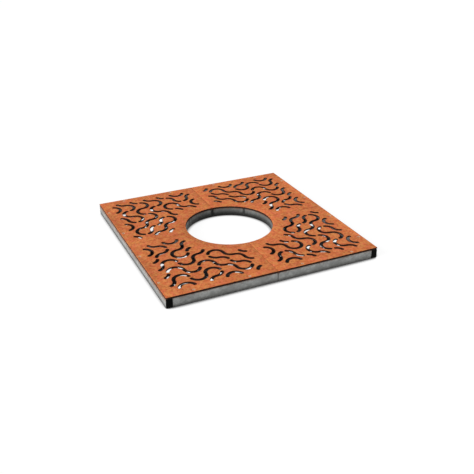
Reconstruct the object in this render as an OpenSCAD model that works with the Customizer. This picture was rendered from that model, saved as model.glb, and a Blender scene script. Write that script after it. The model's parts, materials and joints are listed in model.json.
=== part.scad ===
// Square tree grate with a round tree opening. Four slotted quarter plates of
// weathering steel are screwed down on a galvanised frame of box section. The frame
// is two halves, bolted together, so that it can be laid round a standing tree.
// Origin: centre of the tree opening, on the ledge that the frame rests on.
// +X runs along the front edge to the right, +Y to the back, +Z up.

/* [Overall] */
// Outer length of each side of the grate
side = 1200; // [1000:10:1500]
// Diameter of the tree opening
opening_d = 500; // [360:10:600]

/* [Plates] */
// Thickness of the slotted plates
plate_t = 8; // [6:0.5:12]
// Open joint between two neighbouring plates
plate_gap = 2; // [2:0.5:6]

/* [Slots] */
// Width of a slot
slot_w = 18; // [10:0.5:20]
// Side of the square tiles through which the slots wind
tile = 85; // [74:1:102]
// Steel left between the ends of two slots that meet at a tile's edge
end_web = 12; // [10:0.5:18]
// Plain margin along the outer edges
edge_margin = 48; // [44:1:80]
// Plain margin beside each joint between plates
joint_margin = 40; // [30:1:60]
// Plain ring round the tree opening
ring_margin = 45; // [30:1:80]
// Number of the chance layout that turns the tiles
layout_number = 9; // [1:1:99]

/* [Frame] */
// Height of the box section, the flat bars and the collar
frame_h = 50; // [40:1:70]
// Width of the box section
tube_w = 35; // [32:1:50]
// Wall of the box section
tube_wall = 3; // [2:0.5:4]
// Outer corner radius of the box section
tube_r = 6; // [4.5:0.5:7]
// Thickness of the collar round the tree opening
collar_t = 6; // [4:0.5:10]
// Thickness of the flat bars along which the two halves meet
joint_bar_t = 8; // [6:0.5:12]
// Gap between the two halves of the frame
half_gap = 0.6; // [0.6:0.1:2]

/* [Isolating strips] */
// Thickness of the rubber strips under the plates
strip_t = 2; // [2:0.25:4]
// Width of the strips on the box section
strip_w = 24; // [22:0.5:26]
// Distance that a strip keeps from the outer edge and from the collar's faces
strip_inset = 0.5; // [0.3:0.1:1.5]

/* [Plate screws] */
// Thread diameter of the countersunk screws
screw_d = 8; // [6:0.5:8]
// Head diameter of the countersunk screws
screw_head_d = 16; // [14:0.5:18]
// Overall length of the countersunk screws
screw_l = 25; // [22:0.5:28]
// Width across flats of the hexagon socket in the head
screw_socket = 5; // [4:0.5:6]
// Depth of the socket
screw_socket_h = 3; // [2:0.5:3.5]
// Distance from a joint between plates to the first screw
screw_first = 150; // [100:5:200]
// Distance from one screw to the next
screw_pitch = 300; // [150:5:320]

/* [Rivet nuts] */
// Body diameter of the rivet nuts that take the plate screws
rivet_d = 11; // [10:0.5:12]
// Flange diameter of the rivet nuts
rivet_flange_d = 16; // [14:0.5:18]
// Flange thickness of the rivet nuts
rivet_flange_t = 1.5; // [1:0.1:1.8]
// Length of the rivet nuts below their flange
rivet_l = 18; // [14:0.5:20]
// How far the upset bulge under the tube's wall stands out from the body
rivet_bulge = 2; // [1:0.25:3]
// Height of the upset bulge
rivet_bulge_h = 5; // [3:0.5:7]

/* [Joint bolts] */
// Thread diameter of the bolts that join the halves
bolt_d = 10; // [8:0.5:12]
// Width across flats of the bolt heads and nuts
bolt_flats = 17; // [16:0.5:19]
// Height of the bolt heads
bolt_head_h = 6.5; // [5:0.5:8]
// Height of the nuts
nut_h = 8.5; // [6:0.5:10]
// Outer diameter of the washers
washer_d = 21; // [20:0.5:24]
// Thickness of the washers
washer_t = 2; // [1.5:0.25:3]
// Bolt shank that stands out past the nut
bolt_end = 5; // [3:0.5:10]
// Distance from the collar to the first joint bolt
bolt_from_collar = 60; // [40:5:80]
// Distance from the outer box section to the second joint bolt
bolt_from_tube = 60; // [40:5:80]

/* [End caps] */
// Thickness of the cap's face, which is flush with the frame
cap_t = 3; // [2:0.25:5]
// Depth of the cap's plug inside the box section
cap_plug_l = 16; // [12:1:30]
// Wall of the cap's plug
cap_plug_wall = 2; // [1.5:0.25:3]
// Height of the thin ribs round the plug
cap_rib_h = 1.2; // [0.8:0.1:1.5]
// Thickness of each rib
cap_rib_t = 1.5; // [1:0.25:2]

/* [Hidden] */
$fn = 64;
// Radial clearance of a screw or bolt in its thread, and of a piece in a press seat
thread_clear = 0.05;
// Radial clearance of a screw or bolt in a drilled hole
hole_clear = 0.5;
// Clearance where a piece is cut to another and welded or pushed in
weld_clear = 0.1;
// How far the screw heads lie below the plate's face
screw_sink = 0.3;
// Extra radius of the round at the end of a slot and where two arcs join
end_relief = 0.05;
// Overrun of every cutting solid
cut = 1;

half = side / 2;
opening_r = opening_d / 2;
collar_ro = opening_r + collar_t;
plate_z = frame_h + strip_t;
total_h = plate_z + plate_t;
joint_x = half_gap / 2;
bar_x = joint_x + joint_bar_t;
inner_face = half - tube_w;
tube_line = half - tube_w / 2;
tube_ri = tube_r - tube_wall;
screw_head_h = (screw_head_d - screw_d) / 2;
screw_steps = [for (s = [screw_first : screw_pitch : inner_face - screw_head_d]) s];
screw_places = concat([for (s = screw_steps) [tube_line, s]],
                      [for (s = screw_steps) [s, tube_line]]);
bolt_ys = [collar_ro + bolt_from_collar, inner_face - bolt_from_tube];
bolt_reach = bar_x + washer_t + nut_h + bolt_end;

// Slots: each quarter plate has a square field of tiles, and two opposite corners of
// every tile have a quarter arc round them. Arcs join across each upright tile edge,
// and across the level edges that a chess board picks, so no slot closes on itself.
// A round covers each join, cut by the arc on its left or below it.
field = half - edge_margin - joint_margin;
tiles = floor(field / tile);
first_tile = joint_margin + (field - tiles * tile) / 2;
arc_r = tile / 2;
chances = rands(0, 1, tiles * tiles, layout_number);
end_turn = (end_web + slot_w) / 2 / arc_r * 180 / PI;

function unit(a) = [cos(a), sin(a)];
function turned(i, j) = chances[i * tiles + j] > 0.5;
// Arc 0 of a tile meets its left edge and arc 1 its right edge
function rises(i, j, s) = turned(i, j) != (s == 1);
function arc_centre(i, j, s) =
    [first_tile + (i + s) * tile, first_tile + (j + (rises(i, j, s) ? 1 : 0)) * tile];
function level_angle(s) = s == 0 ? 0 : 180;
function upright_angle(i, j, s) = rises(i, j, s) ? (s == 0 ? -90 : 270) : 90;
function in_field(i, j) = i >= 0 && j >= 0 && i < tiles && j < tiles;
function clear_of_ring(i, j, s) =
    let (c = arc_centre(i, j, s), a = level_angle(s), b = upright_angle(i, j, s))
    min([for (k = [0:6]) norm(c + arc_r * unit(a + (b - a) * k / 6))])
        > opening_r + ring_margin + slot_w / 2;
function is_cut(i, j, s) = in_field(i, j) && clear_of_ring(i, j, s);
function joined_upright(i, j, s) = s == 0 ? is_cut(i - 1, j, 1) : is_cut(i + 1, j, 0);
function joined_level(i, j, s) =
    let (up = rises(i, j, s), next = up ? j + 1 : j - 1, edge = up ? j + 1 : j)
    in_field(i, next) && (i + edge) % 2 == 0
        && is_cut(i, next, rises(i, next, 0) == up ? 1 : 0);

module slot_end(a) {
    translate(arc_r * unit(a))
        cylinder(h = plate_t + 2 * cut, r = slot_w / 2 + end_relief);
}

module slot_arc(i, j, s) {
    a = level_angle(s);
    b = upright_angle(i, j, s);
    turn = sign(b - a) * end_turn;
    from = joined_level(i, j, s) ? a : a + turn;
    to = joined_upright(i, j, s) ? b : b - turn;
    translate(concat(arc_centre(i, j, s), plate_z - cut)) {
        rotate([0, 0, min(from, to)])
            rotate_extrude(angle = abs(to - from))
                translate([arc_r - slot_w / 2, 0])
                    square([slot_w, plate_t + 2 * cut]);
        if (from != a || rises(i, j, s)) slot_end(from);
        if (to != b || s == 1) slot_end(to);
    }
}

module slots() {
    for (i = [0:tiles - 1], j = [0:tiles - 1], s = [0:1])
        if (is_cut(i, j, s)) slot_arc(i, j, s);
}

// Screw hole with a countersink that the head's cone seats in
module screw_hole() {
    seat_h = screw_head_h + screw_sink;
    seat_d = screw_d + 2 * weld_clear;
    translate([0, 0, plate_z - cut])
        cylinder(h = plate_t, d = screw_d + 2 * hole_clear);
    translate([0, 0, total_h - seat_h])
        cylinder(h = seat_h, d1 = seat_d, d2 = seat_d + 2 * seat_h);
    translate([0, 0, total_h])
        cylinder(h = cut, d = seat_d + 2 * seat_h);
}

// Quarter 0 is at the back right, and each further one is a quarter turn on
module quarter_plate(q) {
    rotate([0, 0, 90 * q])
        difference() {
            translate([plate_gap / 2, plate_gap / 2, plate_z])
                cube([half - plate_gap / 2, half - plate_gap / 2, plate_t]);
            translate([0, 0, plate_z - cut])
                cylinder(h = plate_t + 2 * cut, r = opening_r);
            slots();
            for (p = screw_places) translate(p) screw_hole();
        }
}

module screw() {
    top = total_h - screw_sink;
    difference() {
        union() {
            translate([0, 0, top - screw_head_h])
                cylinder(h = screw_head_h, d1 = screw_d, d2 = screw_head_d);
            translate([0, 0, top - screw_l])
                cylinder(h = screw_l - screw_head_h + weld_clear, d = screw_d);
        }
        translate([0, 0, top - screw_socket_h])
            cylinder(h = screw_socket_h + cut, d = screw_socket / cos(30), $fn = 6);
    }
}

module quarter_screws(q) {
    rotate([0, 0, 90 * q])
        for (p = screw_places) translate(p) screw();
}

module rivet_nut() {
    under = frame_h - tube_wall;
    difference() {
        union() {
            translate([0, 0, frame_h])
                cylinder(h = rivet_flange_t, d = rivet_flange_d);
            translate([0, 0, frame_h - rivet_l])
                cylinder(h = rivet_l + weld_clear, d = rivet_d);
            translate([0, 0, under - rivet_bulge_h / 2])
                cylinder(h = rivet_bulge_h / 2, d = rivet_d + 2 * rivet_bulge);
            translate([0, 0, under - rivet_bulge_h])
                cylinder(h = rivet_bulge_h / 2, d1 = rivet_d, d2 = rivet_d + 2 * rivet_bulge);
        }
        translate([0, 0, frame_h - rivet_l - cut])
            cylinder(h = rivet_l + rivet_flange_t + 2 * cut, d = screw_d + 2 * thread_clear);
    }
}

// The rivet nuts of one half of the frame lie under the screws of its two plates
module half_rivet_nuts(quarters) {
    for (q = quarters)
        rotate([0, 0, 90 * q])
            for (p = screw_places) translate(p) rivet_nut();
}

module nut_holes(d) {
    for (q = [0:3])
        rotate([0, 0, 90 * q])
            for (p = screw_places)
                translate([p[0], p[1], frame_h - tube_wall - cut])
                    cylinder(h = tube_wall + strip_t + 2 * cut, d = d);
}

// Span from a to b on the side of the centre that the sign gives
function span(sign, a, b) = sign > 0 ? [a, b] : [-b, -a];

module rounded(w, h, r) {
    translate([r - w / 2, 0]) square([w - 2 * r, h]);
    translate([-w / 2, r]) square([w, h - 2 * r]);
    for (x = [r - w / 2, w / 2 - r], y = [r, h - r]) translate([x, y]) circle(r);
}

module box_section() {
    difference() {
        rounded(tube_w, frame_h, tube_r);
        translate([0, tube_wall])
            rounded(tube_w - 2 * tube_wall, frame_h - 2 * tube_wall, tube_ri);
    }
}

module along_y(ys) {
    translate([0, ys[1], 0]) rotate([90, 0, 0]) linear_extrude(ys[1] - ys[0]) children();
}

module along_x(xs) {
    translate([xs[0], 0, 0]) rotate([90, 0, 90]) linear_extrude(xs[1] - xs[0]) children();
}

module collar_space(r) {
    translate([0, 0, -cut]) cylinder(h = total_h + 2 * cut, r = r);
}

// In what follows sx is -1 for the left half and 1 for the right, and sy is -1 for
// the front and 1 for the back
module side_tube(sx) {
    color("darkgray")
        difference() {
            translate([sx * tube_line, 0, 0])
                along_y([cap_t - half, half - cap_t]) box_section();
            nut_holes(rivet_d + 2 * thread_clear);
        }
}

module end_tube(sx, sy) {
    color("darkgray")
        difference() {
            translate([0, sy * tube_line, 0])
                along_x(span(sx, bar_x, inner_face)) box_section();
            nut_holes(rivet_d + 2 * thread_clear);
        }
}

module cross_tube(sx) {
    color("darkgray")
        difference() {
            along_x(span(sx, opening_r, inner_face)) box_section();
            collar_space(collar_ro + weld_clear);
        }
}

module joint_bar(sx, sy) {
    xs = span(sx, joint_x, bar_x);
    ys = span(sy, opening_r, half);
    color("darkgray")
        difference() {
            translate([xs[0], ys[0], 0]) cube([xs[1] - xs[0], ys[1] - ys[0], frame_h]);
            collar_space(collar_ro + weld_clear);
            for (y = bolt_ys)
                at_bolt(sy * y, -bolt_reach) cylinder(h = 2 * bolt_reach, d = bolt_d + 2 * hole_clear);
        }
}

// Keeps the half of a ring that lies on one side of the joint
module half_of(sx) {
    xs = span(sx, joint_x, half);
    intersection() {
        children();
        translate([xs[0], -half, 0]) cube([xs[1] - xs[0], side, total_h]);
    }
}

module collar(sx) {
    color("darkgray")
        half_of(sx)
            difference() {
                cylinder(h = frame_h, r = collar_ro);
                collar_space(opening_r);
            }
}

// Places a solid with its axis along X at one joint bolt, from x onwards
module at_bolt(y, x) {
    translate([x, y, frame_h / 2]) rotate([0, 90, 0]) children();
}

module each_bolt(x) {
    for (sy = [-1, 1], y = bolt_ys) at_bolt(sy * y, x) children();
}

// Hexagon with its outer corners chamfered at 30 degrees
module hexagon(h) {
    face_r = 0.48 * bolt_flats;
    intersection() {
        cylinder(h = h, d = bolt_flats / cos(30), $fn = 6);
        cylinder(h = h, r1 = face_r, r2 = face_r + h / tan(30));
    }
}

module joint_bolts() {
    head_x = -bar_x - washer_t - bolt_head_h;
    color("silver")
        each_bolt(head_x) {
            hexagon(bolt_head_h);
            cylinder(h = bolt_reach - head_x, d = bolt_d);
        }
}

module joint_nuts() {
    color("silver")
        each_bolt(bar_x + washer_t + nut_h)
            difference() {
                rotate([180, 0, 0]) hexagon(nut_h);
                translate([0, 0, -nut_h - cut])
                    cylinder(h = nut_h + 2 * cut, d = bolt_d + 2 * thread_clear);
            }
}

module washers(x) {
    color("silver")
        each_bolt(x)
            difference() {
                cylinder(h = washer_t, d = washer_d);
                translate([0, 0, -cut])
                    cylinder(h = washer_t + 2 * cut, d = bolt_d + 2 * hole_clear);
            }
}

module end_cap(sx, sy) {
    rib_w = tube_w - 2 * tube_wall - 2 * weld_clear;
    rib_top = frame_h - 2 * tube_wall - 2 * weld_clear;
    plug_w = rib_w - 2 * cap_rib_h;
    plug_top = rib_top - 2 * cap_rib_h;
    plug_end = half - cap_t - cap_plug_l;
    rib_pitch = cap_plug_l / 3;
    color("black")
        translate([sx * tube_line, 0, 0]) {
            along_y(span(sy, half - cap_t, half)) rounded(tube_w, frame_h, tube_r);
            translate([0, 0, tube_wall + weld_clear]) {
                along_y(span(sy, plug_end, half - cap_t))
                    translate([0, cap_rib_h])
                        difference() {
                            rounded(plug_w, plug_top, tube_ri);
                            translate([0, cap_plug_wall])
                                rounded(plug_w - 2 * cap_plug_wall,
                                        plug_top - 2 * cap_plug_wall, tube_ri / 2);
                        }
                for (k = [0:2])
                    along_y(span(sy, plug_end + k * rib_pitch, plug_end + k * rib_pitch + cap_rib_t))
                        difference() {
                            rounded(rib_w, rib_top, tube_ri);
                            translate([0, cap_rib_h]) rounded(plug_w, plug_top, tube_ri);
                        }
            }
        }
}

module tube_strip() {
    difference() {
        translate([0, 0, frame_h]) linear_extrude(strip_t) children();
        nut_holes(rivet_flange_d + 2 * hole_clear);
        collar_space(collar_ro + weld_clear);
    }
}

module side_strip(sx) {
    reach = half - strip_inset;
    color("dimgray")
        tube_strip()
            translate([sx * tube_line - strip_w / 2, -reach]) square([strip_w, 2 * reach]);
}

module end_strip(sx, sy) {
    xs = span(sx, bar_x + weld_clear, tube_line - strip_w / 2 - strip_inset);
    color("dimgray")
        tube_strip()
            translate([xs[0], sy * tube_line - strip_w / 2]) square([xs[1] - xs[0], strip_w]);
}

module cross_strip(sx) {
    xs = span(sx, opening_r, tube_line - strip_w / 2 - strip_inset);
    color("dimgray")
        tube_strip()
            translate([xs[0], -strip_w / 2]) square([xs[1] - xs[0], strip_w]);
}

module joint_strip(sx, sy) {
    xs = span(sx, joint_x, bar_x);
    ys = span(sy, opening_r, half - strip_inset);
    color("dimgray")
        tube_strip()
            translate([xs[0], ys[0]]) square([xs[1] - xs[0], ys[1] - ys[0]]);
}

module ring_strip(sx) {
    color("dimgray")
        half_of(sx)
            translate([0, 0, frame_h])
                difference() {
                    cylinder(h = strip_t, r = collar_ro - strip_inset);
                    translate([0, 0, -cut])
                        cylinder(h = strip_t + 2 * cut, r = opening_r + strip_inset);
                }
}

module plate_back_right() { color("chocolate") quarter_plate(0); }
module plate_back_left() { color("chocolate") quarter_plate(1); }
module plate_front_left() { color("chocolate") quarter_plate(2); }
module plate_front_right() { color("chocolate") quarter_plate(3); }
module screws_back_right() { color("silver") quarter_screws(0); }
module screws_back_left() { color("silver") quarter_screws(1); }
module screws_front_left() { color("silver") quarter_screws(2); }
module screws_front_right() { color("silver") quarter_screws(3); }
module rivet_nuts_left() { color("silver") half_rivet_nuts([1, 2]); }
module rivet_nuts_right() { color("silver") half_rivet_nuts([0, 3]); }
module side_tube_left() { side_tube(-1); }
module side_tube_right() { side_tube(1); }
module front_tube_left() { end_tube(-1, -1); }
module front_tube_right() { end_tube(1, -1); }
module back_tube_left() { end_tube(-1, 1); }
module back_tube_right() { end_tube(1, 1); }
module cross_tube_left() { cross_tube(-1); }
module cross_tube_right() { cross_tube(1); }
module joint_bar_front_left() { joint_bar(-1, -1); }
module joint_bar_front_right() { joint_bar(1, -1); }
module joint_bar_back_left() { joint_bar(-1, 1); }
module joint_bar_back_right() { joint_bar(1, 1); }
module collar_left() { collar(-1); }
module collar_right() { collar(1); }
module head_washers() { washers(-bar_x - washer_t); }
module nut_washers() { washers(bar_x); }
module end_cap_front_left() { end_cap(-1, -1); }
module end_cap_front_right() { end_cap(1, -1); }
module end_cap_back_left() { end_cap(-1, 1); }
module end_cap_back_right() { end_cap(1, 1); }
module side_strip_left() { side_strip(-1); }
module side_strip_right() { side_strip(1); }
module front_strip_left() { end_strip(-1, -1); }
module front_strip_right() { end_strip(1, -1); }
module back_strip_left() { end_strip(-1, 1); }
module back_strip_right() { end_strip(1, 1); }
module cross_strip_left() { cross_strip(-1); }
module cross_strip_right() { cross_strip(1); }
module joint_strip_front_left() { joint_strip(-1, -1); }
module joint_strip_front_right() { joint_strip(1, -1); }
module joint_strip_back_left() { joint_strip(-1, 1); }
module joint_strip_back_right() { joint_strip(1, 1); }
module ring_strip_left() { ring_strip(-1); }
module ring_strip_right() { ring_strip(1); }

plate_back_right();
plate_back_left();
plate_front_left();
plate_front_right();
screws_back_right();
screws_back_left();
screws_front_left();
screws_front_right();
rivet_nuts_left();
rivet_nuts_right();
side_tube_left();
side_tube_right();
front_tube_left();
front_tube_right();
back_tube_left();
back_tube_right();
cross_tube_left();
cross_tube_right();
joint_bar_front_left();
joint_bar_front_right();
joint_bar_back_left();
joint_bar_back_right();
collar_left();
collar_right();
joint_bolts();
head_washers();
nut_washers();
joint_nuts();
end_cap_front_left();
end_cap_front_right();
end_cap_back_left();
end_cap_back_right();
side_strip_left();
side_strip_right();
front_strip_left();
front_strip_right();
back_strip_left();
back_strip_right();
cross_strip_left();
cross_strip_right();
joint_strip_front_left();
joint_strip_front_right();
joint_strip_back_left();
joint_strip_back_right();
ring_strip_left();
ring_strip_right();
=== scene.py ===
# Tree grate: four slotted plates of weathering steel on a galvanised frame of two halves
import json
import math

import bmesh
import bpy
from mathutils import Matrix, Vector


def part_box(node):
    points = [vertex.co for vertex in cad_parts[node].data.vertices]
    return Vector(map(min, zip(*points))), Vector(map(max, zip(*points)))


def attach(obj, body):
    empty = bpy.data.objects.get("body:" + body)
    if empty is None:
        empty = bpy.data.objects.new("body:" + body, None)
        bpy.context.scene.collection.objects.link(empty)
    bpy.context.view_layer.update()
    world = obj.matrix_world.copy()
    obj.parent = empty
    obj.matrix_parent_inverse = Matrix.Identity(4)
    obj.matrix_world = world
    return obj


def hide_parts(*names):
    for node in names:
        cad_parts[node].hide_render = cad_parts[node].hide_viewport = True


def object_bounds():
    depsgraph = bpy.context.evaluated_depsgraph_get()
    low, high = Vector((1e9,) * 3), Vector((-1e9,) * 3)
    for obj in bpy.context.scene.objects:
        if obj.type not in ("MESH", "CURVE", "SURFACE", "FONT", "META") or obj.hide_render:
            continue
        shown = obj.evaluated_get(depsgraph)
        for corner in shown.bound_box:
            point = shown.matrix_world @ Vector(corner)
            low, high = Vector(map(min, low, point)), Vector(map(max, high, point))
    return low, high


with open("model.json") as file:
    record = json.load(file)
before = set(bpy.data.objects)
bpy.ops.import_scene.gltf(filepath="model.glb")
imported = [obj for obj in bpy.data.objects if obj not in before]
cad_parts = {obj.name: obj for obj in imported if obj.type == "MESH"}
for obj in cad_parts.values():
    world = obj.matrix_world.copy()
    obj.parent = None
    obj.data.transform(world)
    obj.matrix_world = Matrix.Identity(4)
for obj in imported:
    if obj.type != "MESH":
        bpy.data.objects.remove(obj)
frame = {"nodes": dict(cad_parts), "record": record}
cadLow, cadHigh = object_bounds()
nodes = frame["nodes"]
behaviour = frame["record"]["behaviour"]
bodyOf = {name: body for body, names in behaviour["bodies"].items() for name in names}
slotOf = {row["node"]: row["material_slot"] for row in frame["record"]["subparts"]}
scene = bpy.context.scene
scene.view_settings.view_transform = "Standard"
print("frame loaded:", len(nodes), "nodes")


def outwards(azimuth, elevation):
    # Direction from the middle to what stands there, in degrees, with azimuth 0 at -Y
    azimuth = math.radians(azimuth)
    elevation = math.radians(elevation)
    level = math.cos(elevation)
    return Vector((math.sin(azimuth) * level, -math.cos(azimuth) * level, math.sin(elevation)))


# Camera
cameraView = {
    "azimuth": -24.749,     # degrees, 0 looks along +Y
    "elevation": 26.921,    # degrees above the horizon
    "distance": 3.9657,     # metres from the middle of the plates' face
    "slideRight": 0.0447,   # metres
    "slideUp": -0.0733,     # metres
    "roll": -0.33,          # degrees
    "lens": 52.46,          # millimetres
    "sensor": 36.0,         # millimetres
    "reach": 200.0,         # metres, how far it sees
}


def makeCamera(view):
    roll = math.radians(view["roll"])
    back = outwards(view["azimuth"], view["elevation"])
    right = Vector((0, 0, 1)).cross(back).normalized()
    up = back.cross(right)
    turnedRight = math.cos(roll) * right + math.sin(roll) * up
    turnedUp = math.cos(roll) * up - math.sin(roll) * right
    place = back * view["distance"] + turnedRight * view["slideRight"] + turnedUp * view["slideUp"]
    place.z += cadHigh.z
    data = bpy.data.cameras.new("camera")
    data.lens = view["lens"]
    data.sensor_width = view["sensor"]
    data.clip_end = view["reach"]
    camera = bpy.data.objects.new("camera", data)
    scene.collection.objects.link(camera)
    turn = Matrix((turnedRight, turnedUp, back)).transposed().to_4x4()
    camera.matrix_world = Matrix.Translation(place) @ turn
    scene.camera = camera


makeCamera(cameraView)
print("camera placed")


# Short forms for building node trees, used by materials and Geometry Nodes alike
def addNode(tree, kind, settings=None, inputs=None):
    node = tree.nodes.new(kind)
    for name, value in (settings or {}).items():
        setattr(node, name, value)
    for key, value in (inputs or {}).items():
        if isinstance(value, bpy.types.NodeSocket):
            tree.links.new(value, node.inputs[key])
        else:
            node.inputs[key].default_value = value
    return node


def calc(tree, operation, first, second=0.0):
    return addNode(tree, "ShaderNodeMath", {"operation": operation}, {0: first, 1: second}).outputs[0]


def vectorCalc(tree, operation, first, second=(0, 0, 0)):
    return addNode(tree, "ShaderNodeVectorMath", {"operation": operation}, {0: first, 1: second}).outputs[0]


def ramp(tree, value, low, high, start=0.0, end=1.0):
    settings = {"interpolation_type": "SMOOTHSTEP"}
    return addNode(tree, "ShaderNodeMapRange", settings,
                   {0: value, 1: low, 2: high, 3: start, 4: end}).outputs[0]


def mixColour(tree, factor, first, second):
    inputs = {0: factor, 6: first, 7: second}
    for key in (6, 7):
        if not isinstance(inputs[key], bpy.types.NodeSocket):
            inputs[key] = (*inputs[key], 1.0)
    return addNode(tree, "ShaderNodeMix", {"data_type": "RGBA"}, inputs).outputs[2]


def newGroup(name, kind, inputs, outputs):
    tree = bpy.data.node_groups.new(name, kind)
    for title, (socketType, value) in inputs.items():
        socket = tree.interface.new_socket(name=title, in_out="INPUT", socket_type=socketType)
        if value is not None:
            socket.default_value = value
    for title, socketType in outputs.items():
        tree.interface.new_socket(name=title, in_out="OUTPUT", socket_type=socketType)
    start = tree.nodes.new("NodeGroupInput").outputs
    end = tree.nodes.new("NodeGroupOutput").inputs
    return tree, start, end


# Shared effects as shader groups
def makeBlotches():
    inputs = {
        "Vector": ("NodeSocketVector", None),
        "Size": ("NodeSocketFloat", 0.05),
        "Cover": ("NodeSocketFloat", 0.5),
        "Softness": ("NodeSocketFloat", 0.1),
        "Amount": ("NodeSocketFloat", 1.0),
    }
    tree, start, end = newGroup("blotches", "ShaderNodeTree", inputs, {"Mask": "NodeSocketFloat"})
    scale = calc(tree, "DIVIDE", 1.0, start["Size"])
    noise = addNode(tree, "ShaderNodeTexNoise", None,
                    {"Vector": start["Vector"], "Scale": scale, "Detail": 4.0, "Roughness": 0.6})
    half = calc(tree, "MULTIPLY", calc(tree, "SUBTRACT", 0.5, start["Cover"]), 0.5)
    level = calc(tree, "ADD", 0.5, half)
    low = calc(tree, "SUBTRACT", level, start["Softness"])
    high = calc(tree, "ADD", level, start["Softness"])
    mask = ramp(tree, noise.outputs[0], low, high)
    tree.links.new(calc(tree, "MULTIPLY", mask, start["Amount"]), end["Mask"])
    return tree


def makeGrain():
    inputs = {
        "Vector": ("NodeSocketVector", None),
        "Size": ("NodeSocketFloat", 0.002),
        "Pits": ("NodeSocketFloat", 0.5),
    }
    tree, start, end = newGroup("grain", "ShaderNodeTree", inputs, {"Height": "NodeSocketFloat"})
    scale = calc(tree, "DIVIDE", 1.0, start["Size"])
    noise = addNode(tree, "ShaderNodeTexNoise", None,
                    {"Vector": start["Vector"], "Scale": scale, "Detail": 3.0, "Roughness": 0.65})
    cells = addNode(tree, "ShaderNodeTexVoronoi", None, {"Vector": start["Vector"], "Scale": scale})
    pits = calc(tree, "MULTIPLY", ramp(tree, cells.outputs["Distance"], 0.0, 0.6), start["Pits"])
    tree.links.new(calc(tree, "ADD", noise.outputs[0], pits), end["Height"])
    return tree


# A mask that grows towards the ground, for painted shade and for dirt
def makeLowDirtAndShade():
    inputs = {
        "Vector": ("NodeSocketVector", None),
        "Height": ("NodeSocketFloat", 0.02),
        "Ragged": ("NodeSocketFloat", 0.006),
        "Amount": ("NodeSocketFloat", 0.7),
    }
    tree, start, end = newGroup("lowDirt", "ShaderNodeTree", inputs, {"Mask": "NodeSocketFloat"})
    noise = addNode(tree, "ShaderNodeTexNoise", None,
                    {"Vector": start["Vector"], "Scale": 60.0, "Detail": 3.0})
    waver = calc(tree, "MULTIPLY", calc(tree, "SUBTRACT", noise.outputs[0], 0.5), start["Ragged"])
    height = addNode(tree, "ShaderNodeSeparateXYZ", None, {0: start["Vector"]}).outputs["Z"]
    mask = ramp(tree, calc(tree, "ADD", height, waver), start["Height"], 0.0)
    tree.links.new(calc(tree, "MULTIPLY", mask, start["Amount"]), end["Mask"])
    return tree


effects = {"blotches": makeBlotches(), "grain": makeGrain(), "lowDirt": makeLowDirtAndShade()}


def effect(tree, name, vector, **values):
    node = addNode(tree, "ShaderNodeGroup", {"node_tree": effects[name]}, {"Vector": vector})
    for title, value in values.items():
        node.inputs[title.capitalize()].default_value = value
    return node.outputs[0]


def newMaterial(name):
    material = bpy.data.materials.new(name)
    material.use_nodes = True
    tree = material.node_tree
    shader = next(node for node in tree.nodes if node.type == "BSDF_PRINCIPLED")
    place = tree.nodes.new("ShaderNodeTexCoord").outputs["Object"]
    return material, tree, shader, place


def roughen(tree, shader, height, distance, strength=0.6):
    bump = addNode(tree, "ShaderNodeBump", None,
                   {"Height": height, "Distance": distance, "Strength": strength})
    tree.links.new(bump.outputs["Normal"], shader.inputs["Normal"])


def sizes(tree, place):
    # The sizes of the three coordinates, without their signs
    parts = addNode(tree, "ShaderNodeSeparateXYZ", None, {0: vectorCalc(tree, "ABSOLUTE", place)})
    return parts.outputs["X"], parts.outputs["Y"], parts.outputs["Z"]


def nearJoint(tree, place, width, amount, normal=None, fade=1.3):
    # Mask of what lies within that width of the joints between the plates, and is gone at fade
    # times the width. With a normal it takes only what faces the joint.
    masks = [ramp(tree, distance, width * fade, width, 0.0, amount)
             for distance in sizes(tree, place)[:2]]
    if normal:
        masks = [calc(tree, "MULTIPLY", mask, facing)
                 for mask, facing in zip(masks, sizes(tree, normal))]
    return calc(tree, "MAXIMUM", *masks)


# Weathering steel
rustValues = {
    "rust": (0.645, 0.168, 0.048),
    "deepRust": (0.41, 0.088, 0.026),
    "ochre": (0.68, 0.290, 0.080),
    "pinkRust": (0.74, 0.178, 0.086),
    "darkFleck": (0.20, 0.058, 0.024),
    "brightFleck": (0.84, 0.36, 0.16),
    "layers": {     # colour, size in metres, cover, softness, amount, and whether it is shifted
        "broad": ("deepRust", 0.110, 0.44, 0.10, 0.40, False),
        "pink": ("pinkRust", 0.040, 0.46, 0.10, 0.60, True),
        "warm": ("ochre", 0.026, 0.46, 0.10, 0.60, False),
        "mottle": ("deepRust", 0.013, 0.42, 0.07, 0.65, True),
        "dark": ("darkFleck", 0.0045, 0.30, 0.05, 0.50, False),
        "bright": ("brightFleck", 0.0026, 0.22, 0.04, 0.45, False),
    },
    "plateShift": (3.1, 1.7, 0.0),  # metres, keeps the pattern from running on over the joints
    "layerShift": (7.3, 2.9, 1.1),  # metres, for the layers that are shifted
    # The cut's dark oxide, deepened with painted shade for the slots
    "cutFace": (0.026, 0.0065, 0.003),
    "wallSlope": (0.95, 0.35),      # the normal's Z where the cut's colour and painted shade start, and are full
    "scorch": (0.045, 0.014, 0.007),
    "scorchAmount": 0.90,
    "roughness": (0.74, 0.92),      # in the dark flecks, and elsewhere
    "gloss": 0.20,
    "grain": 0.0022,
    "relief": 0.0004,
    "jointWidth": 0.0022,   # metres from a joint between plates in which dust fills the gap
    "jointDust": 0.75,
}


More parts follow.
